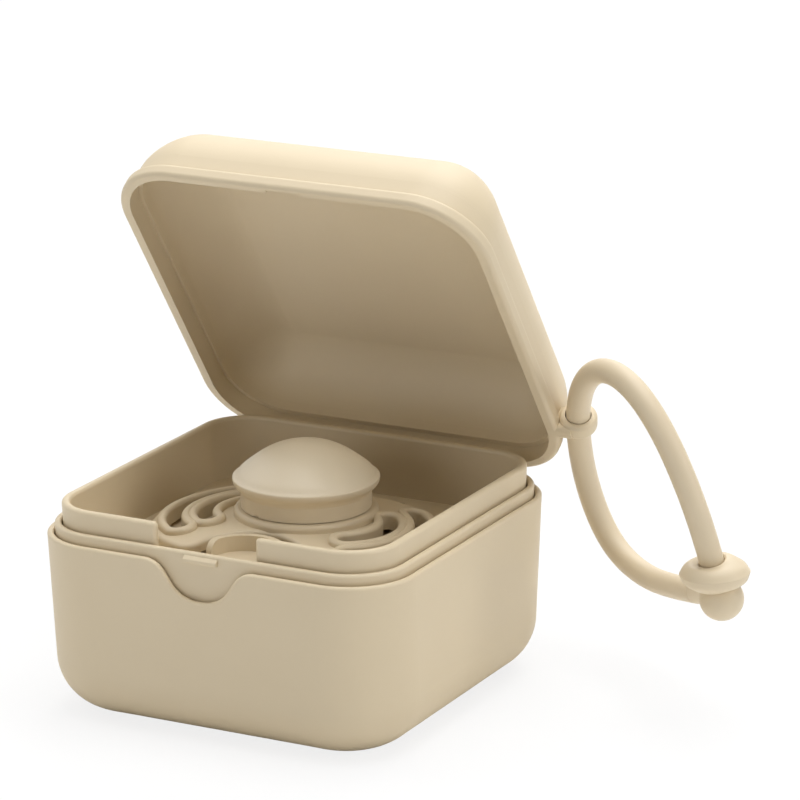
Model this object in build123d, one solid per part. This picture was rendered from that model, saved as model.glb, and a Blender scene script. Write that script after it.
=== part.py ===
from build123d import *
import math
import os

os.makedirs("parts", exist_ok=True)

# A case that stores a pacifier and steam-sterilizes it.  A rounded casing holds a water
# bowl, the bowl holds a steam tray, and the pacifier lies knob up on the tray.  A domed lid
# turns on a pin behind the casing and carries a silicone strap in an eye at its back corner.
# Origin: centre of the flat underside.  +Z up, -Y the front with the thumb notch, +Y the
# hinge.  The lid is modelled shut and then turned to the angle at which it stands open.

# ---- driving dimensions, mm and degrees ------------------------------------------------

# casing: the outer shell
case_width = 70.0           # across X at the rim
case_depth = 70.0           # across Y at the rim
casing_height = 32.1        # underside to rim
casing_lean = 0.45          # each wall stands in by this much at the underside
rim_corner = 12.2           # plan radius of the corners at the rim
base_corner = 14.5          # plan radius of the corners at the underside
base_round = 9.8            # radius between walls and underside
casing_wall = 1.2
casing_floor = 1.6
foot_side = 44.0            # square foot that the case stands on
foot_height = 0.3
rim_round = 0.5             # rounding of the thin rims

# thumb notch in the front of the casing
notch_width = 21.0          # where its shoulders leave the rim
notch_depth = 6.5
notch_floor = 7.6           # width between the flanks, measured at the bottom
notch_shoulder_round = 4.6
notch_floor_round = 6.2

# water bowl: the second shell, which stands a little above the rim
bowl_fit = 0.2              # gap to the casing, each side
bowl_rise = 1.8             # its edge above the casing's rim
bowl_ease = 0.4             # its bottom rounding is larger than the casing's by this much
bowl_wall = 1.2
bowl_floor = 1.4
bowl_rib_count = 3          # ribs along each wall, which carry the tray
bowl_rib_width = 1.6
bowl_rib_reach = 2.6
catch_width = 6.4           # bar on the bowl's front that the lid snaps over
catch_height = 1.9          # from the bowl's edge down
catch_slope = 0.95          # height of the ramp that the lid rides over
catch_reach = 0.7

# steam tray: collar, perforated floor, finger scoop
tray_fit = 0.25             # gap to the bowl, each side
collar_wall = 1.5
collar_rise = 5.5           # its top above the casing's rim
collar_round = 0.65
collar_gap_width = 19.4     # opening in the front of the collar
deck_drop = 5.8             # top of the tray's floor below the casing's rim
deck_thickness = 1.4
seat_gap = 0.2              # air between pieces that lift off each other
nipple_hole = 12.0          # radius
steam_hole = 1.9            # radius
steam_hole_count = 14
steam_ring = 26.5           # radius of the ring of steam holes
scoop_radius = 7.2          # plan radius of the finger scoop
scoop_centre_y = -19.6
scoop_floor_drop = 3.8      # its floor below the casing's rim
scoop_wall_drop = 1.0       # top of its curved wall below the casing's rim
scoop_wall = 1.1
scoop_end_round = 2.4

# lid
lid_side_overhang = 1.0     # bead beyond the casing at the sides
lid_end_overhang = 0.6      # bead beyond the casing at front and back
seam_gap = 0.3              # lid bead to casing rim when shut
lid_rise = 17.0             # bead's underside to the crown
lid_crown_round = 11.3      # height of the rounding between sides and crown
lid_crown_inset = 8.7       # how far that rounding runs in
lid_crown_fullness = 1.6    # power of the rounding: 2 is an ellipse, less is softer
crown_steps = 8             # sections the rounding is lofted through
lid_lean = 0.25             # lean of the straight part of the sides
lid_corner = 13.0           # plan radius of the corners at the bead
lid_wall = 1.75
lid_crown_wall = 1.8
bead_height = 2.6
bead_proud = 0.8            # bead beyond the lid's side
bead_round = 0.75
mouth_fit = 0.35            # gap between the mouth and the bowl's edge
mouth_depth = 3.7           # depth of the stepped mouth
catch_fit = 0.25
lid_open_angle = 54.7       # from shut to the angle at which it stands

# hinge behind the casing
hinge_back = 1.5            # axis behind the casing's back wall
hinge_drop = 1.0            # axis below the casing's rim
knuckle_radius = 1.75
knuckle_gap = 0.2           # along the axis, between knuckles
knuckle_clearance = 0.3     # round a knuckle, in the other piece
lid_knuckle_width = 14.0
casing_knuckle_width = 5.0
pin_radius = 0.9
pin_fit = 0.05              # pin to lid knuckle
pin_grip = 0.02             # pin to casing knuckles
gusset_drop = 5.5

# eye for the strap, on the lid's side near the hinge
eye_reach = 2.5             # middle of the eye beyond the lid's bead
eye_from_back = 12.14       # from the lid's back edge
eye_rise = 3.65             # above the bead's underside
eye_hole = 2.36             # radius
eye_wall = 1.05
eye_thickness = 3.3
eye_axis_shut = (0.228, -0.970, 0.0875)

# strap: a soft cord whose two ends meet at a button
cord_diameter = 4.3
ball_radius = 3.85
button_radius = 6.1
button_thickness = 4.8
button_lift = 5.25          # button's middle to ball's middle
button_hole_fit = 0.1
ball_seat_fit = 0.1
button_down = (0.05, 0.03, -1.0)    # way the button's underside faces
neck_inset = 3.4            # the cord's first end joins the button this far off its middle

# The cord's route, from the middle of the eye, with the lid standing open.
strap_route = [
    (28.9, -12.3, -23.7),
    (18.3, -3.0, -27.0),
    (10.1, 3.0, -27.2),
    (4.2, 6.4, -24.8),
    (0.4, 7.1, -19.3),
    (-1.4, 5.2, -11.0),
    (-0.7, 1.1, -1.5),
    (2.6, -4.7, 7.3),
    (8.2, -11.0, 13.1),
    (14.7, -16.6, 15.1),
    (21.0, -20.4, 13.1),
    (26.6, -22.2, 7.2),
    (30.9, -22.1, -1.4),
    (33.9, -20.4, -11.5),
    (35.05, -18.24, -19.35),
]
arc_share = 0.45            # of the shorter run beside a bend

# pacifier
knob_centre_y = 3.26
shield_lobe_radius = 19.6
shield_lobe_offset = 7.2    # lobes' centres, left and right
shield_thickness = 2.0
shield_dome_radius = 143.0
shield_top_drop = 1.0       # top of the dome below the casing's rim
shield_notch_radius = 10.8
shield_notch_y = -20.5
shield_notch_round = 2.4
shield_ring_radius = 12.75
shield_ring_round = 0.9
shield_ring_top = 0.05      # above the casing's rim
shield_boss_radius = 11.2
shield_boss_drop = 3.2      # boss below the top of the dome
vent_width = 2.6
vent_ridge_width = 1.7
vent_ridge_height = 1.1
vent_ridge_round = 0.75
shield_edge_round = 0.8
outer_vent_radius = 15.4
outer_vent_arc = (128.0, 104.0)     # start and sweep, left lobe
inner_vent_radius = 9.9
inner_vent_arc = (138.0, 92.0)
knob_radius = 12.95
knob_neck_radius = 11.5
knob_gap = 0.15             # line between knob and ring
knob_edge_rise = 5.25       # widest part above the casing's rim
knob_dome_height = 6.45
knob_dome_power = 2.15      # fullness of the dome: 2 is a parabola
knob_under_height = 2.5
knob_lip = 1.3              # the lip under the widest part
knob_lip_radius = 12.4
knob_cove = 0.12            # how far the cove under the lip is hollowed
plug_radius = 5.9
plug_length = 8.0
plug_fit = 0.1
pry_width = 2.2
pry_depth = 0.5
nipple_collar_radius = 8.0
nipple_collar_fit = 0.08
nipple_flange_radius = 10.4
nipple_flange = 1.2
nipple_wall = 1.2
nipple_neck_radius = 6.9
nipple_bulb_radius = 8.7
nipple_clear_of_bowl = 2.0

# ---- places worked out from them -------------------------------------------------------

rim_z = casing_height
hinge_y = case_depth / 2 + hinge_back
hinge_z = rim_z - hinge_drop
hinge_axis = Axis((0, hinge_y, hinge_z), (1, 0, 0))
bowl_inset = casing_wall + bowl_fit
bowl_inner_inset = bowl_inset + bowl_wall
tray_inset = bowl_inner_inset + tray_fit
bowl_top_z = rim_z + bowl_rise
bowl_floor_z = casing_floor + bowl_floor
deck_z = rim_z - deck_drop
deck_bottom_z = deck_z - deck_thickness
collar_top_z = rim_z + collar_rise
lid_z = rim_z + seam_gap
lid_half_x = case_width / 2 + lid_side_overhang
lid_half_y = case_depth / 2 + lid_end_overhang
cord_radius = cord_diameter / 2
beyond = 4.0                # how far a cutter runs past what it cuts


# ---- shared shapes ---------------------------------------------------------------------

def rounded_slab(half_x, half_y, corner, z):
    """A rounded rectangle, as a face at height z."""
    return Plane.XY.offset(z) * RectangleRounded(2 * half_x, 2 * half_y, corner)


def wall_half(z, half, inset):
    """Half width at height z of a wall that leans in towards the underside."""
    return half - casing_lean * (1 - z / casing_height) - inset


def wall_corner(z, inset):
    """Plan radius of the corners at height z, inset from the casing's outside."""
    share = z / casing_height
    return base_corner + (rim_corner - base_corner) * share - inset


def tub(low, high, inset, bottom_round):
    """The casing's outer form from low to high, drawn in by inset, with a rounded bottom."""
    faces = [
        rounded_slab(
            wall_half(z, case_width / 2, inset),
            wall_half(z, case_depth / 2, inset),
            wall_corner(z, inset),
            z,
        )
        for z in (low, high)
    ]
    body = loft(faces, ruled=True)
    if bottom_round:
        body = fillet(body.edges().group_by(Axis.Z)[0], bottom_round)
    return body


def round_rim(body, z, radius):
    """Round the inner and outer edge of a thin rim at height z."""
    edges = [e for e in body.edges() if abs(e.center().Z - z) < 1e-4]
    return fillet(edges, radius)


def x_cylinder(radius, length, x=0.0):
    """A cylinder on the hinge's axis, its middle at x."""
    place = Location((x, hinge_y, hinge_z), (0, 90, 0))
    return place * Cylinder(radius, length)


def side_profile(points, width, x=0.0):
    """Points in the YZ plane, extruded by width along X about x."""
    face = Plane.YZ * make_face(Polyline(*points, close=True))
    return Pos(x, 0, 0) * extrude(face, amount=width / 2, both=True)


# ---- casing ----------------------------------------------------------------------------

def notch_cutter():
    """The thumb notch: flanks that leave the rim in an S and meet in a round floor."""
    half = notch_width / 2
    wide = half + notch_shoulder_round
    line = FilletPolyline(
        (-wide, rim_z),
        (-half + notch_shoulder_round / 2, rim_z),
        (-notch_floor / 2, rim_z - notch_depth),
        (notch_floor / 2, rim_z - notch_depth),
        (half - notch_shoulder_round / 2, rim_z),
        (wide, rim_z),
        radius=[
            notch_shoulder_round,
            notch_floor_round,
            notch_floor_round,
            notch_shoulder_round,
        ],
    )
    lid_line = Polyline((wide, rim_z), (wide, rim_z + beyond), (-wide, rim_z + beyond), (-wide, rim_z))
    face = Plane.XZ.offset(case_depth / 2 - 2 * casing_wall - bowl_fit) * make_face(line + lid_line)
    return extrude(face, amount=beyond)


def casing():
    body = tub(0, casing_height, 0, base_round)
    body -= tub(casing_floor, casing_height + beyond, casing_wall, base_round - casing_wall)
    body -= notch_cutter()
    round_foot = Pos(0, 0, foot_height) * Box(
        case_width, case_depth, beyond, align=(Align.CENTER, Align.CENTER, Align.MAX)
    )
    body -= round_foot - Box(foot_side, foot_side, 2 * beyond)
    body = round_rim(body, rim_z, rim_round)
    knuckle_x = lid_knuckle_width / 2 + knuckle_gap + casing_knuckle_width / 2
    root_y = case_depth / 2 - casing_wall / 2
    for side in (-1, 1):
        x = side * knuckle_x
        body += x_cylinder(knuckle_radius, casing_knuckle_width, x)
        body += side_profile(
            [
                (root_y, hinge_z - gusset_drop),
                (hinge_y + knuckle_radius * 0.94, hinge_z - knuckle_radius * 0.34),
                (hinge_y, hinge_z + hinge_drop - rim_round),
                (root_y, hinge_z + hinge_drop - rim_round),
            ],
            casing_knuckle_width,
            x,
        )
    body -= x_cylinder(pin_radius + pin_grip, 2 * (knuckle_x + casing_knuckle_width))
    body -= x_cylinder(knuckle_radius + knuckle_clearance, lid_knuckle_width + 2 * knuckle_gap)
    return body


# ---- water bowl ------------------------------------------------------------------------

def bowl_ribs():
    """Upright ribs along the four walls, up to the underside of the tray."""
    top = deck_bottom_z - seat_gap
    ribs = []
    for index in range(bowl_rib_count):
        along = (index - (bowl_rib_count - 1) / 2) / bowl_rib_count
        for side in (-1, 1):
            x = side * (case_width / 2 - bowl_inset)
            y = side * (case_depth / 2 - bowl_inset)
            reach = 2 * (bowl_wall + bowl_rib_reach)
            ribs.append(Pos(x, along * case_depth, top / 2) * Box(reach, bowl_rib_width, top))
            ribs.append(Pos(along * case_width, y, top / 2) * Box(bowl_rib_width, reach, top))
    return ribs


def water_bowl():
    bottom = base_round + bowl_ease
    outside = tub(casing_floor, bowl_top_z, bowl_inset, bottom - bowl_inset)
    inside = tub(bowl_floor_z, bowl_top_z + beyond, bowl_inner_inset, bottom - bowl_inner_inset)
    body = round_rim(outside - inside, bowl_top_z, rim_round)
    for rib in bowl_ribs():
        body += rib & outside
    front_y = -wall_half(rim_z, case_depth / 2, bowl_inset)
    top = bowl_top_z - rim_round * 0.3
    bar = side_profile(
        [
            (front_y + bowl_wall / 2, top),
            (front_y + rim_round, top),
            (front_y - catch_reach, top - catch_slope),
            (front_y - catch_reach, top - catch_height + catch_reach * 0.6),
            (front_y + bowl_wall / 2, top - catch_height),
        ],
        catch_width,
    )
    outer = [e for e in bar.edges().filter_by(Axis.X) if e.center().Y < front_y - catch_reach / 2]
    return body + fillet(outer, catch_reach * 0.4)


# ---- steam tray ------------------------------------------------------------------------

def finger_scoop():
    """A raised floor at the collar's gap, with a curved wall behind it."""
    floor_z = rim_z - scoop_floor_drop
    wall_z = rim_z - scoop_wall_drop
    front_y = -wall_half(rim_z, case_depth / 2, tray_inset + collar_wall / 2)
    depth = scoop_centre_y - front_y
    plan = Pos(0, scoop_centre_y) * Circle(scoop_radius)
    plan += Pos(0, scoop_centre_y - depth / 2) * Rectangle(2 * scoop_radius, depth)
    block = extrude(Plane.XY.offset(deck_bottom_z) * plan, amount=floor_z - deck_bottom_z)
    ring = Circle(scoop_radius) - Circle(scoop_radius - scoop_wall)
    ring -= Pos(0, -scoop_radius) * Rectangle(4 * scoop_radius, 2 * scoop_radius)
    place = Plane.XY.offset(floor_z) * Pos(0, scoop_centre_y)
    wall = extrude(place * ring, amount=wall_z - floor_z)
    ends = [
        e
        for e in wall.edges().group_by(Axis.Z)[-1]
        if abs(e.center().Y - scoop_centre_y) < 1e-4
    ]
    return block + fillet(ends, scoop_end_round)


def steam_tray():
    outside = tub(deck_bottom_z, collar_top_z, tray_inset, 0)
    inside = tub(deck_z, collar_top_z + beyond, tray_inset + collar_wall, 0)
    body = round_rim(outside - inside, collar_top_z, collar_round)
    gap_low = rim_z - scoop_floor_drop
    gap_high = collar_top_z + beyond
    front_y = -wall_half(rim_z, case_depth / 2, tray_inset + collar_wall / 2)
    gap = Pos(0, front_y, (gap_low + gap_high) / 2) * Box(
        collar_gap_width, 3 * collar_wall, gap_high - gap_low
    )
    body -= gap
    ends = [
        e
        for e in body.edges().filter_by(Axis.Y)
        if abs(abs(e.center().X) - collar_gap_width / 2) < 1e-4
        and e.center().Z > collar_top_z - 2 * collar_round
    ]
    if ends:
        body = fillet(ends, collar_round)
    body += finger_scoop()
    body -= Pos(0, knob_centre_y, deck_z) * Cylinder(nipple_hole, 2 * deck_thickness + beyond)
    spots = PolarLocations(steam_ring, steam_hole_count, start_angle=-90 + 180 / steam_hole_count)
    drills = [spot * Cylinder(steam_hole, 3 * deck_thickness) for spot in spots]
    body -= [Pos(0, 0, deck_z - deck_thickness / 2) * drill for drill in drills]
    return body


# ---- lid -------------------------------------------------------------------------------

def crown_levels(low, crown_drop):
    """Pairs of height and inset up the lid's side: a lean, then a superellipse."""
    straight = lid_rise - lid_crown_round
    levels = [(low, lid_lean * low / straight)]
    power = 2 / lid_crown_fullness
    for step in range(crown_steps + 1):
        turn = math.radians(90 / crown_steps * step)
        rise = (lid_crown_round - crown_drop) * math.sin(turn) ** power
        run = lid_crown_inset * (1 - max(math.cos(turn), 0) ** power)
        levels.append((straight + rise, lid_lean + run))
    return levels


def lid_form(inset, crown_drop, low):
    """The lid's rounded form as a loft of rounded rectangles, drawn in by inset."""
    side_x = lid_half_x - bead_proud - inset
    side_y = lid_half_y - bead_proud - inset
    corner = lid_corner - bead_proud - inset
    faces = [
        rounded_slab(side_x - drawn, side_y - drawn, corner - drawn, lid_z + height)
        for height, drawn in crown_levels(low, crown_drop)
    ]
    return loft(faces[:2], ruled=True) + loft(faces[1:])


def lid_bead():
    """The rounded bead along the lid's edge."""
    face = rounded_slab(lid_half_x, lid_half_y, lid_corner, lid_z)
    bead = extrude(face, amount=bead_height)
    return fillet(bead.edges().group_by(Axis.Z)[0] + bead.edges().group_by(Axis.Z)[-1], bead_round)


def eye_place():
    """Middle of the eye, with the lid shut."""
    return Vector(lid_half_x + eye_reach, lid_half_y - eye_from_back, lid_z + eye_rise)


def eye_ring():
    """The ring that holds the strap, with a short arm into the lid's side."""
    middle = eye_place()
    plane = Plane(origin=middle, x_dir=(0, 0, 1), z_dir=eye_axis_shut)
    outer = eye_hole + eye_wall
    ring = plane * Cylinder(outer, eye_thickness)
    ring = fillet(ring.edges(), eye_wall * 0.9)
    arm_length = eye_reach + bead_proud + lid_wall / 2
    arm = Pos(middle.X, middle.Y, lid_z) * Box(
        arm_length,
        eye_thickness * 0.9,
        eye_rise + outer * 0.55,
        align=(Align.MAX, Align.CENTER, Align.MIN),
    )
    arm = fillet(arm.edges().filter_by(Axis.X), eye_wall)
    under = Pos(0, middle.Y, lid_z) * Box(
        2 * lid_half_x,
        3 * eye_thickness,
        lid_z,
        align=(Align.CENTER, Align.CENTER, Align.MAX),
    )
    return ring + arm - under


def lid():
    body = lid_form(0, 0, 0.0) + lid_bead()
    body += eye_ring()
    web_top = lid_z + bead_height + 2 * knuckle_radius
    body += x_cylinder(knuckle_radius, lid_knuckle_width)
    body += side_profile(
        [
            (hinge_y - hinge_back + 0.2, lid_z),
            (hinge_y, hinge_z),
            (hinge_y + knuckle_radius, hinge_z),
            (lid_half_y - bead_proud - lid_lean, web_top),
            (lid_half_y - 2 * lid_wall, web_top - lid_wall),
            (lid_half_y - 2 * lid_wall, lid_z + bead_height),
        ],
        lid_knuckle_width,
    )
    knuckle_x = lid_knuckle_width / 2 + knuckle_gap + casing_knuckle_width / 2
    relief = knuckle_radius + knuckle_clearance
    for side in (-1, 1):
        body -= Pos(side * knuckle_x, hinge_y, hinge_z) * Box(
            casing_knuckle_width + 2 * knuckle_gap, 2 * (relief + hinge_back), 2 * relief
        )
    body -= x_cylinder(pin_radius + pin_fit, lid_knuckle_width + beyond)
    mouth_half_x = case_width / 2 - bowl_inset + mouth_fit
    mouth_half_y = case_depth / 2 - bowl_inset + mouth_fit
    mouth = rounded_slab(mouth_half_x, mouth_half_y, rim_corner - bowl_inset + mouth_fit, lid_z)
    body -= extrude(mouth, amount=mouth_depth)
    body -= extrude(mouth, amount=-2 * seam_gap)
    body -= lid_form(lid_wall, lid_crown_wall, mouth_depth - seam_gap)
    slot_top = bowl_top_z + catch_fit
    slot_y = -(case_depth / 2 - bowl_inset + catch_reach + catch_fit)
    slot = Box(
        catch_width + 2 * catch_fit,
        2 * catch_reach,
        slot_top - rim_z,
        align=(Align.CENTER, Align.MIN, Align.MIN),
    )
    body -= Pos(0, slot_y, rim_z) * slot
    body -= Plane(
        origin=eye_place(), x_dir=(0, 0, 1), z_dir=eye_axis_shut
    ) * Cylinder(eye_hole, 2 * eye_thickness)
    return body


def hinge_pin():
    length = lid_knuckle_width + 2 * (knuckle_gap + casing_knuckle_width)
    pin = x_cylinder(pin_radius, length)
    return chamfer(pin.edges(), pin_radius * 0.3)


# ---- strap -----------------------------------------------------------------------------

def opened(piece):
    """Turn a piece of the shut lid to where the lid stands."""
    return piece.rotate(hinge_axis, -lid_open_angle)


def eye_open():
    """Middle of the eye, with the lid standing open."""
    hinge = Vector(0, hinge_y, hinge_z)
    return hinge + (eye_place() - hinge).rotate(Axis.X, -lid_open_angle)


def route_points():
    eye = eye_open()
    return [eye + Vector(*step) for step in strap_route]


def bend_radii(points):
    """One radius for each bend: as large as the two runs beside it allow."""
    radii = []
    for before, corner, after in zip(points, points[1:], points[2:]):
        first = corner - before
        second = after - corner
        half_turn = math.radians(first.get_angle(second)) / 2
        shorter = min(first.length, second.length)
        radii.append(arc_share * shorter / math.tan(half_turn))
    return radii


def strap_cord():
    points = route_points()
    radii = bend_radii(points)
    path = FilletPolyline(*points, radius=radii)
    start = Plane(origin=points[0], z_dir=points[1] - points[0])
    tube = sweep(start * Circle(cord_radius), path=path)
    print("strap cord radii", [round(r, 1) for r in radii])
    print("strap cord length", round(path.length, 1))
    print("strap cord volume", round(tube.volume, 1), round(path.length * math.pi * cord_radius**2, 1))
    return tube


def end_direction():
    points = route_points()
    return (points[-1] - points[-2]).normalized()


def ball_place():
    """Middle of the ball: the cord's last end meets a flat of the cord's own size."""
    reach = math.sqrt(ball_radius**2 - cord_radius**2)
    return route_points()[-1] + end_direction() * reach


def strap_ball():
    reach = math.sqrt(ball_radius**2 - cord_radius**2)
    top = Plane(origin=ball_place(), z_dir=end_direction() * -1)
    ball = top * Sphere(ball_radius)
    cut = top * Pos(0, 0, reach + ball_radius / 2) * Box(
        2 * ball_radius, 2 * ball_radius, ball_radius
    )
    return ball - cut


def strap_button():
    """A lens-shaped button that the ball end passes through, moulded on the first end."""
    direction = end_direction()
    middle = ball_place() - direction * button_lift
    first = route_points()[0]
    down = Vector(*button_down).normalized()
    plane = Plane(origin=middle, z_dir=down)
    half = button_thickness / 2
    outline = make_face(
        Spline(
            (0, half),
            (button_radius * 0.62, half * 0.86),
            (button_radius, 0),
            (button_radius * 0.62, -half * 0.86),
            (0, -half),
            tangents=[(1, 0), (-1, 0)],
        )
        + Line((0, -half), (0, half))
    )
    lens = revolve(Plane.XZ * outline, Axis.Z)
    body = plane * lens
    away = first - route_points()[1]
    side = (first - middle) - down * (first - middle).dot(down)
    root = middle + side.normalized() * neck_inset
    bend = Spline(first, root, tangents=[away, down * -1])
    body += sweep(Plane(origin=first, z_dir=away) * Circle(cord_radius), path=bend)
    along = Plane(origin=middle, z_dir=direction)
    body -= along * Cylinder(cord_radius + button_hole_fit, 4 * button_thickness)
    body -= Plane(origin=ball_place(), z_dir=direction) * Sphere(ball_radius + ball_seat_fit)
    return body


# ---- pacifier --------------------------------------------------------------------------

def shield_top_z():
    return rim_z - shield_top_drop


def shield_plan():
    """Two round lobes joined by straight edges, with a notch for the nose."""
    plan = SlotCenterToCenter(2 * shield_lobe_offset, 2 * shield_lobe_radius)
    plan -= Pos(0, shield_notch_y) * Circle(shield_notch_radius)
    tips = [v for v in plan.vertices() if v.Y < shield_notch_y / 2 and abs(v.X) < 2 * shield_lobe_offset]
    return fillet(tips, shield_notch_round)


def vents(grow):
    """Two nested crescents in each lobe, widened on every side by grow."""
    shapes = []
    for radius, (start, sweep_angle) in (
        (outer_vent_radius, outer_vent_arc),
        (inner_vent_radius, inner_vent_arc),
    ):
        arc = CenterArc((-shield_lobe_offset, 0), radius, start, sweep_angle)
        slot = SlotArc(arc, vent_width + 2 * grow)
        shapes += [slot, mirror(slot, Plane.YZ)]
    return shapes


def on_sphere(body, middle, radius):
    """Edges of a body that lie on a sphere."""
    return [
        e
        for e in body.edges()
        if all(abs((e.position_at(t) - middle).length - radius) < 1e-3 for t in (0, 0.37, 1))
    ]


def pacifier_shield():
    """A domed plate with a ring round its middle and ridged vents, rounded all over."""
    top = shield_top_z()
    tall = 8 * shield_thickness
    middle = Vector(0, 0, top - shield_dome_radius)
    dome = Pos(*middle)
    outer = dome * Sphere(shield_dome_radius)
    inner = dome * Sphere(shield_dome_radius - shield_thickness)
    ridge_radius = shield_dome_radius + vent_ridge_height
    raised = dome * Sphere(ridge_radius)
    base = Plane.XY.offset(top - 4 * shield_thickness)
    body = (extrude(base * shield_plan(), amount=tall) & outer) - inner
    body = fillet(on_sphere(body, middle, shield_dome_radius), shield_edge_round)
    for wide, narrow in zip(vents(vent_ridge_width), vents(0)):
        hole = extrude(base * narrow, amount=tall)
        ridge = ((extrude(base * wide, amount=tall) - hole) & raised) - inner
        body -= hole
        body += fillet(on_sphere(ridge, middle, ridge_radius), vent_ridge_round)
    ring_top = rim_z + shield_ring_top
    boss_low = top - shield_boss_drop
    centre = Pos(0, knob_centre_y, 0)
    ring_low = top - shield_thickness
    ring = Cylinder(shield_ring_radius, ring_top - ring_low)
    ring = fillet(ring.edges().group_by(Axis.Z)[-1], shield_ring_round)
    body += centre * Pos(0, 0, (ring_low + ring_top) / 2) * ring
    body += centre * Pos(0, 0, (boss_low + ring_top) / 2) * Cylinder(
        shield_boss_radius, ring_top - boss_low
    )
    bore = nipple_collar_radius + nipple_collar_fit
    body -= centre * Pos(0, 0, top) * Cylinder(bore, 8 * shield_thickness)
    return body


def nipple_top_z():
    return rim_z + shield_ring_top - knob_gap


def pacifier_nipple():
    """Soft hollow bulb, its collar up through the shield and its flange below it."""
    top = nipple_top_z()
    flange_top = shield_top_z() - shield_boss_drop
    flange_low = flange_top - nipple_flange
    tip = bowl_floor_z + nipple_clear_of_bowl
    bulb_z = tip + nipple_bulb_radius
    neck_z = flange_low - 2 * nipple_wall
    bore = plug_radius + plug_fit
    outside = Polyline(
        (bore, top),
        (nipple_collar_radius, top),
        (nipple_collar_radius, flange_top),
        (nipple_flange_radius, flange_top),
        (nipple_flange_radius, flange_low),
        (nipple_neck_radius, neck_z),
    )
    bulb = Spline(
        (nipple_neck_radius, neck_z),
        (nipple_bulb_radius, bulb_z),
        (0, tip),
        tangents=[(0, -1), (-1, 0)],
    )
    inner_bulb = Spline(
        (0, tip + nipple_wall),
        (nipple_bulb_radius - nipple_wall, bulb_z),
        (bore, neck_z),
        tangents=[(1, 0), (0, 1)],
    )
    ends = Line((0, tip), (0, tip + nipple_wall)) + Line((bore, neck_z), (bore, top))
    face = make_face(outside + bulb + inner_bulb + ends)
    return Pos(0, knob_centre_y, 0) * revolve(Plane.XZ * face, Axis.Z)


def pacifier_knob():
    """Mushroom knob whose hollow plug holds the nipple in the shield."""
    low = rim_z + shield_ring_top + knob_gap
    edge = rim_z + knob_edge_rise
    under = edge - knob_under_height
    apex = edge + knob_dome_height
    plug_low = low - plug_length
    line = Polyline(
        (0, apex),
        (0, plug_low),
        (plug_radius, plug_low),
        (plug_radius, low),
        (knob_neck_radius, low),
        (knob_neck_radius, under),
    )
    cove = SagittaArc((knob_neck_radius, under), (knob_lip_radius, edge - knob_lip), knob_cove)
    lip = SagittaArc((knob_lip_radius, edge - knob_lip), (knob_radius, edge), -knob_lip / 8)
    shares = (0.974, 0.93, 0.78, 0.6, 0.4, 0.2)
    cap = [
        (knob_radius * share, edge + knob_dome_height * (1 - share**knob_dome_power))
        for share in shares
    ]
    dome = Spline((knob_radius, edge), *cap, (0, apex), tangents=[(0, 1), (-1, 0)])
    face = make_face(line + cove + lip + dome)
    body = revolve(Plane.XZ * face, Axis.Z)
    pry = Pos(-knob_neck_radius * 0.4, -knob_neck_radius, low) * Box(pry_width, 2.0, 2 * pry_depth)
    return Pos(0, knob_centre_y, 0) * (body - pry)


# ---- write one STEP per piece ----------------------------------------------------------

pieces = {
    "casing": casing(),
    "water_bowl": water_bowl(),
    "steam_tray": steam_tray(),
    "hinge_pin": hinge_pin(),
    "lid": opened(lid()),
    "strap_cord": strap_cord(),
    "strap_button": strap_button(),
    "strap_ball": strap_ball(),
    "pacifier_shield": pacifier_shield(),
    "pacifier_nipple": pacifier_nipple(),
    "pacifier_knob": pacifier_knob(),
}
for name, piece in pieces.items():
    export_step(piece, f"parts/{name}.step")
print("eye, lid open", [round(v, 2) for v in eye_open()])
print("ball", [round(v, 2) for v in ball_place()])
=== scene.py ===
import bmesh
import bpy
import numpy as np
from mathutils import Matrix, Vector


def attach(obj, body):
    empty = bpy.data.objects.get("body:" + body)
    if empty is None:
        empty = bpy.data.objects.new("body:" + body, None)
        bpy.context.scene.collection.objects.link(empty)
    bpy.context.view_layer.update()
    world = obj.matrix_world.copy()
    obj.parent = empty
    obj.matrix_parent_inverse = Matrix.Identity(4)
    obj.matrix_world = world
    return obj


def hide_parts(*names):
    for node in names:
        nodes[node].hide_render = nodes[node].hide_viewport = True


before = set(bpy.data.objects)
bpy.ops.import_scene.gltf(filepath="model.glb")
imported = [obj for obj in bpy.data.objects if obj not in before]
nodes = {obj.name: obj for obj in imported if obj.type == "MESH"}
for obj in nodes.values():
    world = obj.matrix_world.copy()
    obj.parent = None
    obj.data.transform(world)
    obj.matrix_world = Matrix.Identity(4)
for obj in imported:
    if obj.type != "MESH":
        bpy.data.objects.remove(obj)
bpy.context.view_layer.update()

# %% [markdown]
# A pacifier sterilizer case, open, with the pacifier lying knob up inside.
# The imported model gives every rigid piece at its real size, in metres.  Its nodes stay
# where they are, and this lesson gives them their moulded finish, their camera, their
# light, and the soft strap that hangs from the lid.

mm = 0.001

# %% [markdown]
# The camera stands low at the front right, as for a catalogue picture: far away with a long
# lens, so that the box's sides stay nearly parallel.  A Track To constraint could aim it, but
# a camera looks along its own -Z, with +X to the right and +Y up, so writing those three
# directions as its rotation says exactly how it is turned.

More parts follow.
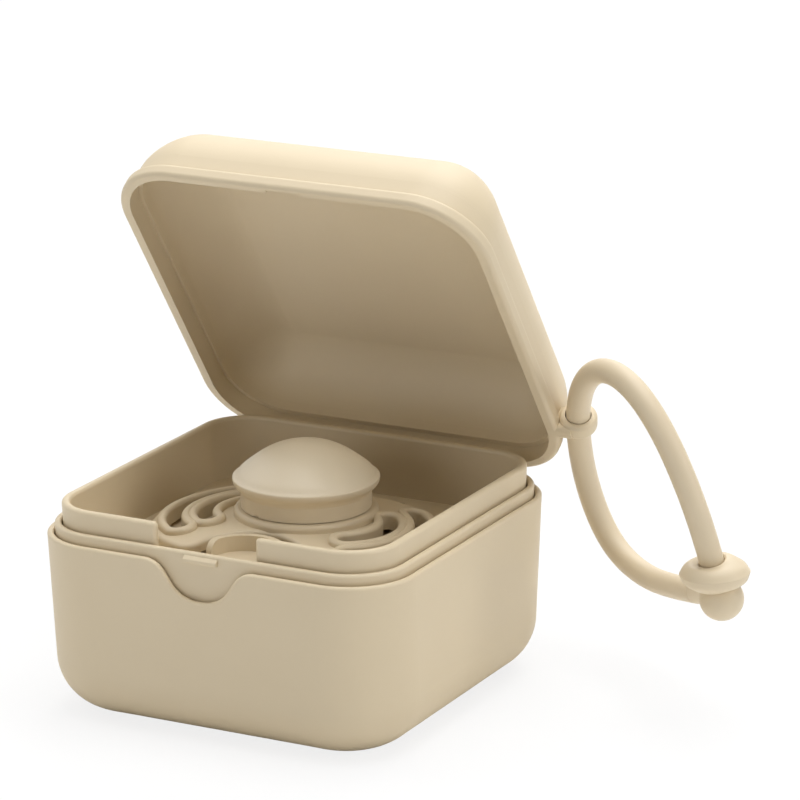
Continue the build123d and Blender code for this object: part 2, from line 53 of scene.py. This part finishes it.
# %% camera
eye_point = Vector((0.3654, -0.65465, 0.27195))
right_way = Vector((0.88569, 0.46422, -0.00762)).normalized()
forward_way = Vector((-0.44733, 0.84885, -0.28168)).normalized()
up_way = right_way.cross(forward_way).normalized()
turn = Matrix((right_way, up_way, -forward_way)).transposed().to_4x4()
lens = bpy.data.cameras.new("catalogue_lens")
lens.sensor_width = 36.0  # millimetres
lens.lens = 202.70  # millimetres
lens.clip_start = 0.01
lens.clip_end = 50.0
camera = bpy.data.objects.new("catalogue_camera", lens)
camera.matrix_world = Matrix.Translation(eye_point) @ turn
bpy.context.scene.collection.objects.link(camera)
bpy.context.scene.camera = camera
case_middle = Vector((0.0, 0.0, 0.03))
print("camera", round((eye_point - case_middle).length, 3), "m away")

# %% [markdown]
# The strap is one soft silicone cord that hangs from an eye at the lid's back corner and
# meets itself at a button.  Its line is a NURBS curve, because that bends as evenly as a
# cord does: the route's points pull a smooth line towards themselves, and only the first and
# last are touched.  The order and the end-point setting come after the points, because set
# before them they would leave straight runs.

# %% strap: the cord's route, in millimetres, from the middle of the eye
eye_mid = np.array([38.5, 32.99, 44.60])
strap_route = eye_mid + np.array([
    (28.9, -12.3, -23.7),
    (18.3, -3.0, -27.0),
    (10.1, 3.0, -27.2),
    (4.2, 6.4, -24.8),
    (0.4, 7.1, -19.3),
    (-1.4, 5.2, -11.0),
    (-0.7, 1.1, -1.5),
    (2.6, -4.7, 7.3),
    (8.2, -11.0, 13.1),
    (14.7, -16.6, 15.1),
    (21.0, -20.4, 13.1),
    (26.6, -22.2, 7.2),
    (30.9, -22.1, -1.4),
    (33.9, -20.4, -11.5),
    (35.05, -18.24, -19.35),
])
cord_diameter = 4.3


def nurbs_line(points):
    """Points along a NURBS curve of order 3 that touches the first and last point given."""
    data = bpy.data.curves.new("strap_line", "CURVE")
    data.dimensions = "3D"
    spline = data.splines.new("NURBS")
    spline.points.add(len(points) - 1)
    flat = np.ones((len(points), 4))
    flat[:, :3] = np.asarray(points) * mm
    spline.points.foreach_set("co", flat.ravel())
    spline.order_u = 3
    spline.use_endpoint_u = True
    spline.resolution_u = 20
    holder = bpy.data.objects.new("strap_line", data)
    plain = bpy.data.meshes.new_from_object(holder)
    line = np.empty(3 * len(plain.vertices))
    plain.vertices.foreach_get("co", line)
    bpy.data.meshes.remove(plain)
    bpy.data.objects.remove(holder)
    return line.reshape(-1, 3) / mm


strap_line = nurbs_line(strap_route)

# %% [markdown]
# New pieces are grids of points, worked out all at once with numpy.  Neighbours in the grid
# are joined by quads.  Then points that fall together, as at a ball's poles, are merged into
# one, open ends are closed, and the faces are turned outwards.

# %% helper: a grid of points becomes a mesh
merge_distance = 1e-6


def grid_mesh(name, points):
    """A closed mesh from points[i, j], in millimetres.

    Faces join each point to the next in i, and in j round to the first again.
    """
    rows, columns = points.shape[:2]
    index = np.arange(rows * columns).reshape(rows, columns)
    a, b = index[:-1], index[1:]
    quads = np.stack([a, b, np.roll(b, -1, 1), np.roll(a, -1, 1)], -1)
    mesh = bpy.data.meshes.new(name)
    mesh.from_pydata((points.reshape(-1, 3) * mm).tolist(), [], quads.reshape(-1, 4).tolist())
    work = bmesh.new()
    work.from_mesh(mesh)
    bmesh.ops.remove_doubles(work, verts=work.verts, dist=merge_distance)
    bmesh.ops.holes_fill(work, edges=[e for e in work.edges if e.is_boundary], sides=0)
    bmesh.ops.recalc_face_normals(work, faces=work.faces)
    work.to_mesh(mesh)
    work.free()
    mesh.shade_smooth()
    return mesh


print("points closer than", merge_distance, "m are merged")

# %% [markdown]
# A round piece needs an axis and two directions square to it.  Any two would do for a whole
# turn, but the cord hands them on from ring to ring, so they are chosen near a given start.

# %% helpers: directions and rings
def unit(way):
    """A direction, or rows of them, at length one."""
    way = np.asarray(way, float)
    return way / np.linalg.norm(way, axis=-1, keepdims=True)


def square_to(axis, start=(1.0, 0.0, 0.0)):
    """Two directions square to an axis and to each other, the first as near start as can be."""
    w = unit(axis)
    u = unit(np.asarray(start) - w * np.dot(start, w))
    return u, np.cross(w, u)


def rings(around):
    """Cosines and sines of even steps round a circle, ready to multiply directions."""
    a = np.linspace(0, 2 * np.pi, around, endpoint=False)
    return np.cos(a)[None, :, None], np.sin(a)[None, :, None]


print("two directions square to (0, 1, -1):", [d.round(2) for d in square_to((0, 1, -1))])

# %% [markdown]
# Moulded outlines are smooth, so a profile is a few points with a Catmull-Rom line through
# them.  A Bezier curve would do it too, but this one needs no handles, and it is cut into
# even steps so that the faces come out alike.

# %% helper: a smooth profile
def smooth_profile(points, count):
    """A Catmull-Rom line through points, evenly sampled by its own length.

    Between b and c, with a before and d after, and f from 0 to 1:
    (2b + (c - a) f + (2a - 5b + 4c - d) f^2 + (3b - a - 3c + d) f^3) / 2.
    """
    p = np.asarray(points, float)
    padded = np.vstack([2 * p[0] - p[1], p, 2 * p[-1] - p[-2]])
    t = np.linspace(0, len(p) - 1, 40 * len(p))
    k = np.minimum(t.astype(int), len(p) - 2)
    f = (t - k)[:, None]
    a, b, c, d = (padded[k + i] for i in range(4))
    curve = 2 * b + (c - a) * f + (2 * a - 5 * b + 4 * c - d) * f**2
    line = (curve + (3 * b - a - 3 * c + d) * f**3) / 2
    step = np.r_[0, np.cumsum(np.linalg.norm(np.diff(line, axis=0), axis=1))]
    even = np.linspace(0, step[-1], count)
    return np.stack([np.interp(even, step, line[:, i]) for i in range(p.shape[1])], 1)


arch = smooth_profile([(0, 0), (1, 1), (2, 0)], 9)
print("an arch of 3 points, smoothed to", len(arch), "and", arch[:, 1].max().round(2), "high")

# %% [markdown]
# Two ways of carrying a profile make every new piece: turning it round an axis, as a lathe
# does, and moving a round section along a line.  The Screw and Curve tools do the same, but
# here each point's place is known exactly, so walls and gaps keep their sizes.

# %% helpers: turned and swept surfaces
def turned(name, profile, middle, axis, around=72):
    """A profile of (radius r, height h) carried round an axis.

    Each point is middle + r (u cos a + v sin a) + h w, with w the axis and u, v square to it.
    """
    u, v = square_to(axis)
    cos, sin = rings(around)
    r, h = profile[:, 0][:, None, None], profile[:, 1][:, None, None]
    return grid_mesh(name, np.asarray(middle) + r * (cos * u + sin * v) + h * unit(axis))


def swept(name, line, radii, around=48):
    """A round section carried along a line: line + radius (side cos a + other sin a).

    side is carried from each point to the next and made square to the line again, so the
    rings do not twist.
    """
    way = unit(np.gradient(line, axis=0))
    side = [square_to(way[0], (0.2, 0.9, 0.4))[0]]
    for direction in way[1:]:
        side.append(square_to(direction, side[-1])[0])
    side = np.array(side)
    other = np.cross(way, side)
    cos, sin = rings(around)
    reach = np.broadcast_to(radii, len(line))[:, None, None]
    return grid_mesh(name, line[:, None] + reach * (cos * side[:, None] + sin * other[:, None]))

# %% [markdown]
# A finished mesh becomes a piece: it is linked to the scene, it stands for the plain solids
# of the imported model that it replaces, and it rides on the body that carries it.

# %% helper: show a piece
def shown(mesh, body, *replaced):
    """Link a finished mesh as a piece of the object that rides on a body."""
    made = bpy.data.objects.new(mesh.name, mesh)
    bpy.context.scene.collection.objects.link(made)
    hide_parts(*replaced)
    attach(made, body)
    print(mesh.name, len(mesh.polygons), "faces")
    return made

# %% [markdown]
# The cord itself is a round section carried along the line, because its thickness is the
# same all the way.

# %% strap: the cord
strap = shown(swept("strap_loop", strap_line, cord_diameter / 2), "strap", "strap_cord")

# %% [markdown]
# The strap's far end is a ball that is pushed through a button moulded on the near end.  The
# ball is a sphere cut flat where the cord runs into it.

# %% strap: ball end
end_way = unit(strap_route[-1] - strap_route[-2])
ball_radius = 3.85
flat_at = np.sqrt(ball_radius**2 - (cord_diameter / 2) ** 2)
ball_mid = strap_route[-1] + end_way * flat_at
sweep = np.linspace(np.arcsin(cord_diameter / 2 / ball_radius), np.pi, 48)
ball_profile = ball_radius * np.stack([np.sin(sweep), -np.cos(sweep)], 1)
ball_profile = np.vstack([[0.0, ball_profile[0, 1]], ball_profile])
ball_mesh = turned("strap_ball_end", ball_profile, ball_mid, end_way)
ball = shown(ball_mesh, "strap", "strap_ball")

# %% [markdown]
# The button is a soft lens that lies nearly level.  The hole down its middle and the round
# seat for the ball under it follow the cord instead, which comes through at a slant.  A lens
# with a slanted hole cut by a Boolean would have a hard edge, so each point of the lens is
# blended between the two directions by its distance from the middle.

# %% strap: button
button_lift = 5.25  # from the ball's middle to the button's
button_mid = ball_mid - end_way * button_lift
button_down = unit((0.05, 0.03, -1.0))
button_radius = 6.1
hole = cord_diameter / 2 + 0.08
seat_radius = 3.95  # the hollow under the button, a little wider than the ball
seat_edge = 3.0
top_side = smooth_profile(
    [(hole, -2.2), (2.7, -2.38), (4.0, -2.05), (5.3, -1.25), (button_radius, 0.0)], 40
)
under_side = smooth_profile(
    [(button_radius, 0.0), (5.6, 1.3), (4.6, 2.1), (3.5, 2.5), (seat_edge, 2.45)], 40
)
seat_turn = np.linspace(np.arcsin(seat_edge / seat_radius), np.arcsin(hole / seat_radius), 16)
seat = seat_radius * np.stack([np.sin(seat_turn), -np.cos(seat_turn)], 1) + (0.0, button_lift)
button_profile = np.vstack([top_side, under_side[1:], seat[1:], top_side[:1]])
slant_inside, slant_outside = 2.6, 4.8  # follows the cord inside the first, level past the last


def slanted_button(name, profile, around=96):
    """r (u cos a + v sin a) + h w, worked out for both directions w and blended.

    With t from 0 to 1 between the two slant radii, the level one counts s = t^2 (3 - 2t).
    """
    r, h = profile[:, 0][:, None, None], profile[:, 1][:, None, None]
    cos, sin = rings(around)
    lenses = []
    for axis in (end_way, button_down):
        u, v = square_to(axis)
        lenses.append(r * (cos * u + sin * v) + h * axis)
    t = np.clip((r - slant_inside) / (slant_outside - slant_inside), 0, 1)
    s = t * t * (3 - 2 * t)
    return grid_mesh(name, button_mid + lenses[0] * (1 - s) + lenses[1] * s)


button = shown(slanted_button("strap_button_lens", button_profile), "strap", "strap_button")

# %% [markdown]
# The cord's near end runs on under the lens and melts into it.  Its line is a Hermite curve,
# which leaves the cord in the cord's own direction and arrives in the lens from below.

# %% strap: neck under the button
near = strap_route[0]
away = unit(near - strap_route[1])
across = (near - button_mid) - button_down * np.dot(near - button_mid, button_down)
neck_root = 3.6  # how far from the lens's middle the cord melts into it
root = button_mid + unit(across) * neck_root
reach = np.linalg.norm(root - near)
t = np.linspace(0, 1, 40)[:, None]
neck_line = (
    (2 * t**3 - 3 * t**2 + 1) * near
    + (t**3 - 2 * t**2 + t) * away * reach
    + (3 * t**2 - 2 * t**3) * root
    - (t**3 - t**2) * button_down * reach
)
neck = shown(swept("strap_button_neck", neck_line, cord_diameter / 2), "strap", "strap_button")

# %% [markdown]
# The nipple is a soft latex bulb with a thin wall and an open top, where the knob's plug goes
# in.  A Solidify modifier could give the wall, but the real one is thicker at the tip and at
# the collar, so its profile runs up the outside from the tip and down the inside again.

# %% nipple
nipple_outside = smooth_profile([
    (0.0, 5.0), (3.2, 5.45), (6.2, 7.4), (8.1, 10.4), (8.7, 13.7), (8.35, 17.2), (7.4, 21.0),
    (6.9, 24.0), (7.5, 25.9), (9.2, 26.62), (10.2, 26.8), (10.4, 27.3), (10.1, 27.82),
    (8.7, 27.9), (8.05, 28.5), (8.0, 31.7), (7.8, 32.0),
], 150)
nipple_inside = smooth_profile([
    (6.25, 32.0), (6.02, 31.7), (6.0, 24.5), (6.4, 20.6), (7.15, 16.9), (7.5, 13.7),
    (6.9, 10.6), (5.2, 8.05), (2.6, 6.6), (0.0, 6.2),
], 90)
nipple_profile = np.maximum(np.vstack([nipple_outside, nipple_inside]), 0.0)
nipple_foot = (0.0, 3.26, 0.0)
nipple_mesh = turned("nipple_bulb", nipple_profile, nipple_foot, (0.0, 0.0, 1.0), 96)
nipple = shown(nipple_mesh, "pacifier", "pacifier_nipple")

# %% [markdown]
# The cord's far end is the ball, and it hangs from the eye in the lid.

# %% [markdown]
# The case is moulded in a soft-touch plastic of one warm sand colour.  Its skin is matt with
# a very fine grain, and its colour drifts a little where the plastic flowed.  All moulded
# pieces share that effect, so it is a group of nodes with named inputs: slow noise shifts the
# colour, fine noise varies the roughness and lifts the grain.

# %% node group: moulded skin
def add(tree, kind, place, **settings):
    """One shader node with its settings, at a place in the editor."""
    made = tree.nodes.new(kind)
    made.location = place
    for key, value in settings.items():
        setattr(made, key, value)
    return made


def moulded_skin_group():
    """Object position in; colour, roughness and height out."""
    group = bpy.data.node_groups.new("moulded_skin", "ShaderNodeTree")
    face = group.interface
    face.new_socket("Position", in_out="INPUT", socket_type="NodeSocketVector")
    for name in ("Colour", "Deep Colour"):
        face.new_socket(name, in_out="INPUT", socket_type="NodeSocketColor")
    for name in ("Drift", "Grain Scale", "Roughness", "Roughness Range"):
        face.new_socket(name, in_out="INPUT", socket_type="NodeSocketFloat")
    face.new_socket("Colour", in_out="OUTPUT", socket_type="NodeSocketColor")
    face.new_socket("Roughness", in_out="OUTPUT", socket_type="NodeSocketFloat")
    face.new_socket("Height", in_out="OUTPUT", socket_type="NodeSocketFloat")
    inside = add(group, "NodeGroupInput", (-900, 0))
    outside = add(group, "NodeGroupOutput", (500, 0))
    slow = add(group, "ShaderNodeTexNoise", (-650, 250))
    slow.inputs["Scale"].default_value = 60.0
    slow.inputs["Detail"].default_value = 3.0
    fine = add(group, "ShaderNodeTexNoise", (-650, -50))
    fine.inputs["Detail"].default_value = 2.0
    fine.inputs["Roughness"].default_value = 0.6
    share = add(group, "ShaderNodeMath", (-400, 250), operation="MULTIPLY")
    blend = add(group, "ShaderNodeMix", (-150, 250), data_type="RGBA")
    spread = add(group, "ShaderNodeMapRange", (-150, -50))
    low = add(group, "ShaderNodeMath", (-400, -200), operation="SUBTRACT")
    high = add(group, "ShaderNodeMath", (-400, -350), operation="ADD")
    link = group.links.new
    link(inside.outputs["Position"], slow.inputs["Vector"])
    link(inside.outputs["Position"], fine.inputs["Vector"])
    link(inside.outputs["Grain Scale"], fine.inputs["Scale"])
    link(slow.outputs["Fac"], share.inputs[0])
    link(inside.outputs["Drift"], share.inputs[1])
    link(share.outputs[0], blend.inputs["Factor"])
    link(inside.outputs["Colour"], blend.inputs["A"])
    link(inside.outputs["Deep Colour"], blend.inputs["B"])
    link(inside.outputs["Roughness"], low.inputs[0])
    link(inside.outputs["Roughness Range"], low.inputs[1])
    link(inside.outputs["Roughness"], high.inputs[0])
    link(inside.outputs["Roughness Range"], high.inputs[1])
    link(fine.outputs["Fac"], spread.inputs["Value"])
    link(low.outputs[0], spread.inputs["To Min"])
    link(high.outputs[0], spread.inputs["To Max"])
    link(blend.outputs["Result"], outside.inputs["Colour"])
    link(spread.outputs["Result"], outside.inputs["Roughness"])
    link(fine.outputs["Fac"], outside.inputs["Height"])
    return group


moulded_skin = moulded_skin_group()
print("moulded skin:", [s.name for s in moulded_skin.interface.items_tree])

# %% [markdown]
# Each moulded or soft piece gets its own values for that skin: the shells are matt; the knob
# is smoother where hands have rubbed it, and its colour is painted lighter than the shells' as
# painted light where the open lid shades it; the strap's silicone has a coarser grain, and the
# nipple's latex is honey coloured.  Colours are written as on a screen and turned into linear
# light, which is what a shader works in.

# %% materials of the moulded and soft pieces
def linear(red, green, blue):
    """A colour written as 0-255 screen values, as linear light."""
    c = np.array([red, green, blue]) / 255.0
    return [*np.where(c > 0.04045, ((c + 0.055) / 1.055) ** 2.4, c / 12.92), 1.0]


grain_depth = 0.00002


def moulded(name, colour, deep, drift, grain, roughness, spread, bump):
    """A material whose skin comes from the group, which varies between the values given."""
    made = bpy.data.materials.new(name)
    made.use_nodes = True
    tree = made.node_tree
    tree.nodes.clear()
    where = add(tree, "ShaderNodeTexCoord", (-900, 0))
    skin = add(tree, "ShaderNodeGroup", (-650, 0), node_tree=moulded_skin)
    skin.inputs["Colour"].default_value = linear(*colour)
    skin.inputs["Deep Colour"].default_value = linear(*deep)
    skin.inputs["Drift"].default_value = drift
    skin.inputs["Grain Scale"].default_value = grain
    skin.inputs["Roughness"].default_value = roughness
    skin.inputs["Roughness Range"].default_value = spread
    relief = add(tree, "ShaderNodeBump", (-350, -250))
    relief.inputs["Strength"].default_value = bump
    relief.inputs["Distance"].default_value = grain_depth
    shader = add(tree, "ShaderNodeBsdfPrincipled", (-100, 0))
    out = add(tree, "ShaderNodeOutputMaterial", (250, 0))
    link = tree.links.new
    link(where.outputs["Object"], skin.inputs["Position"])
    link(skin.outputs["Colour"], shader.inputs["Base Color"])
    link(skin.outputs["Roughness"], shader.inputs["Roughness"])
    link(skin.outputs["Height"], relief.inputs["Height"])
    link(relief.outputs["Normal"], shader.inputs["Normal"])
    link(shader.outputs["BSDF"], out.inputs["Surface"])
    print("material", name)
    return made


skins = {
    "shell_plastic": ((214, 198, 168), (208, 191, 160), 0.6, 3200.0, 0.52, 0.06, 0.12),
    # the knob is the shell's plastic, its colour painted lighter as painted light where the
    # open lid shades it
    "knob_plastic": ((228, 214, 187), (222, 207, 179), 0.5, 3800.0, 0.40, 0.05, 0.08),
    "strap_silicone": ((215, 199, 170), (209, 192, 162), 0.5, 2600.0, 0.5, 0.05, 0.1),
    "nipple_latex": ((214, 190, 148), (203, 176, 130), 0.8, 900.0, 0.38, 0.05, 0.1),
}
finish = {name: moulded(name, *values) for name, values in skins.items()}

# %% [markdown]
# The imported model's pieces keep their own meshes and only take a material, and the new
# pieces take one as well.

# %% which piece has which finish
def finish_of(obj, material):
    """Give a piece one material on all of its faces."""
    obj.data.materials.clear()
    obj.data.materials.append(material)


for name in ("casing", "water_bowl", "steam_tray", "lid", "pacifier_shield"):
    finish_of(nodes[name], finish["shell_plastic"])
finish_of(nodes["pacifier_knob"], finish["knob_plastic"])
finish_of(nipple, finish["nipple_latex"])
for piece in (strap, ball, button, neck):
    finish_of(piece, finish["strap_silicone"])
for material in finish.values():
    print(material.name, "on", material.users, "pieces")

# %% [markdown]
# The hinge pin is drawn steel: the die leaves fine lines along it.  A noise gives them, drawn
# out along the pin by a Mapping node, and it shifts both the tone and the roughness.

# %% steel pin
def drawn_steel():
    """Steel whose noise is drawn out along X, the way the pin runs."""
    made = bpy.data.materials.new("pin_steel")
    made.use_nodes = True
    tree = made.node_tree
    shader = tree.nodes["Principled BSDF"]
    shader.inputs["Metallic"].default_value = 1.0
    where = add(tree, "ShaderNodeTexCoord", (-900, 0))
    stretch = add(tree, "ShaderNodeMapping", (-700, 0))
    stretch.inputs["Scale"].default_value = (40.0, 6000.0, 6000.0)
    lines = add(tree, "ShaderNodeTexNoise", (-500, 0))
    lines.inputs["Scale"].default_value = 1.0
    tone = add(tree, "ShaderNodeMix", (-250, 100), data_type="RGBA")
    tone.inputs["A"].default_value = linear(150, 150, 148)
    tone.inputs["B"].default_value = linear(196, 196, 194)
    rough = add(tree, "ShaderNodeMapRange", (-250, -150))
    rough.inputs["To Min"].default_value = 0.25
    rough.inputs["To Max"].default_value = 0.45
    link = tree.links.new
    link(where.outputs["Object"], stretch.inputs["Vector"])
    link(stretch.outputs["Vector"], lines.inputs["Vector"])
    link(lines.outputs["Fac"], tone.inputs["Factor"])
    link(lines.outputs["Fac"], rough.inputs["Value"])
    link(tone.outputs["Result"], shader.inputs["Base Color"])
    link(rough.outputs["Result"], shader.inputs["Roughness"])
    return made


finish_of(nodes["hinge_pin"], drawn_steel())
print("pin", nodes["hinge_pin"].active_material.name)

# %% [markdown]
# The case stands on a white table that runs on out of sight.  More light on everything would
# make the table white but burn out the case, so for the camera most of the table's
# brightness is its own, and the rest of it still keeps a soft shadow.

# %% table: its white
own_light = 0.82  # the share of the table's look that is its own white


def table_material():
    """White and matt; a camera ray also meets a white glow, mixed in by own_light."""
    made = bpy.data.materials.new("white_table")
    made.use_nodes = True
    tree = made.node_tree
    tree.nodes.clear()
    ray = add(tree, "ShaderNodeLightPath", (-700, 300))
    where = add(tree, "ShaderNodeTexCoord", (-900, -100))
    soft = add(tree, "ShaderNodeTexNoise", (-700, -100))
    soft.inputs["Scale"].default_value = 8.0
    tone = add(tree, "ShaderNodeMix", (-450, -100), data_type="RGBA")
    tone.inputs["A"].default_value = (0.90, 0.90, 0.90, 1.0)
    tone.inputs["B"].default_value = (0.92, 0.92, 0.92, 1.0)
    matt = add(tree, "ShaderNodeBsdfDiffuse", (-200, -100))
    glow = add(tree, "ShaderNodeEmission", (-200, 100))
    glow.inputs["Strength"].default_value = 1.0
    seen = add(tree, "ShaderNodeMath", (-450, 300), operation="MULTIPLY")
    seen.inputs[1].default_value = own_light
    mixed = add(tree, "ShaderNodeMixShader", (50, 0))
    out = add(tree, "ShaderNodeOutputMaterial", (250, 0))
    link = tree.links.new
    link(where.outputs["Object"], soft.inputs["Vector"])
    link(soft.outputs["Fac"], tone.inputs["Factor"])
    link(tone.outputs["Result"], matt.inputs["Color"])
    link(ray.outputs["Is Camera Ray"], seen.inputs[0])
    link(seen.outputs[0], mixed.inputs["Fac"])
    link(matt.outputs[0], mixed.inputs[1])
    link(glow.outputs[0], mixed.inputs[2])
    link(mixed.outputs[0], out.inputs["Surface"])
    return made


print("own light", own_light)

# %% [markdown]
# The table itself is a flat grid, a hair under the case's foot so that the two never share a
# plane.  It is no part of the object.

# %% table: its place
table_reach = 4.0  # metres each way
table_drop = 0.00005  # just under the case's foot
edge = np.linspace(-table_reach, table_reach, 5)
x, y = np.meshgrid(edge, edge, indexing="ij")
table_points = np.stack([x, y, np.full_like(x, -table_drop)], -1)
index = np.arange(x.size).reshape(x.shape)
quads = np.stack([index[:-1, :-1], index[1:, :-1], index[1:, 1:], index[:-1, 1:]], -1)
table = bpy.data.objects.new("table", bpy.data.meshes.new("table"))
table.data.from_pydata(table_points.reshape(-1, 3).tolist(), [], quads.reshape(-1, 4).tolist())
bpy.context.scene.collection.objects.link(table)
finish_of(table, table_material())
print("table", 2 * table_reach, "m wide")

# %% [markdown]
# Soft studio light: large lamps overhead and behind make the tops the brightest, and the
# white table throws their light back on the sides.  Weak ones at the left, at the right and
# in front even the sides out, and the room adds very little, so that the inside of the case
# stays darker and warmer than its walls.

# %% lamps
def soft_box(name, place, size, power):
    """A square lamp at place, in metres, turned to shine at the middle of the case."""
    light = bpy.data.lights.new(name, "AREA")
    light.shape = "SQUARE"
    light.size = size
    light.energy = power
    made = bpy.data.objects.new(name, light)
    made.location = place
    way = case_middle - Vector(place)
    made.rotation_euler = way.to_track_quat("-Z", "Y").to_euler()
    bpy.context.scene.collection.objects.link(made)
    print("lamp", name, power, "W")


soft_box("overhead", (0.15, 0.15, 1.1), 0.9, 8.1)
soft_box("behind_and_above", (-0.2, 0.9, 0.9), 0.8, 5.4)
soft_box("wide_above", (0.0, 0.0, 1.2), 1.5, 5.6)
soft_box("left", (-1.0, 0.0, 0.9), 0.8, 3.3)
soft_box("right", (1.3, 0.1, 0.5), 0.7, 5.3)
soft_box("front", (-0.3, -1.4, 0.3), 0.7, 3.5)

# %% [markdown]
# The room is a world that gives almost no light of its own, yet shows as white to the camera,
# and to glossy and clear rays, so that steel and smooth plastic have something to reflect.
# Standard view keeps the colours as they are written.

# %% room
def room(fill):
    """A white world: fill is its light, and camera, glossy and clear rays see it as white."""
    world = bpy.data.worlds.new("white_room")
    bpy.context.scene.world = world
    world.use_nodes = True
    tree = world.node_tree
    tree.nodes.clear()
    ray = add(tree, "ShaderNodeLightPath", (-800, 0))
    seen_or_mirrored = add(tree, "ShaderNodeMath", (-600, 0), operation="MAXIMUM")
    or_through_glass = add(tree, "ShaderNodeMath", (-400, 0), operation="MAXIMUM")
    dim = add(tree, "ShaderNodeBackground", (-200, 120))
    dim.inputs["Strength"].default_value = fill
    white = add(tree, "ShaderNodeBackground", (-200, -120))
    white.inputs["Strength"].default_value = 1.0
    for background in (dim, white):
        background.inputs["Color"].default_value = (1.0, 1.0, 1.0, 1.0)
    mixed = add(tree, "ShaderNodeMixShader", (50, 0))
    out = add(tree, "ShaderNodeOutputWorld", (250, 0))
    link = tree.links.new
    link(ray.outputs["Is Camera Ray"], seen_or_mirrored.inputs[0])
    link(ray.outputs["Is Glossy Ray"], seen_or_mirrored.inputs[1])
    link(seen_or_mirrored.outputs[0], or_through_glass.inputs[0])
    link(ray.outputs["Is Transmission Ray"], or_through_glass.inputs[1])
    link(or_through_glass.outputs[0], mixed.inputs["Fac"])
    link(dim.outputs[0], mixed.inputs[1])
    link(white.outputs[0], mixed.inputs[2])
    link(mixed.outputs[0], out.inputs["Surface"])


room(0.06)
bpy.context.scene.view_settings.view_transform = "Standard"
print("room", bpy.context.scene.world.name)
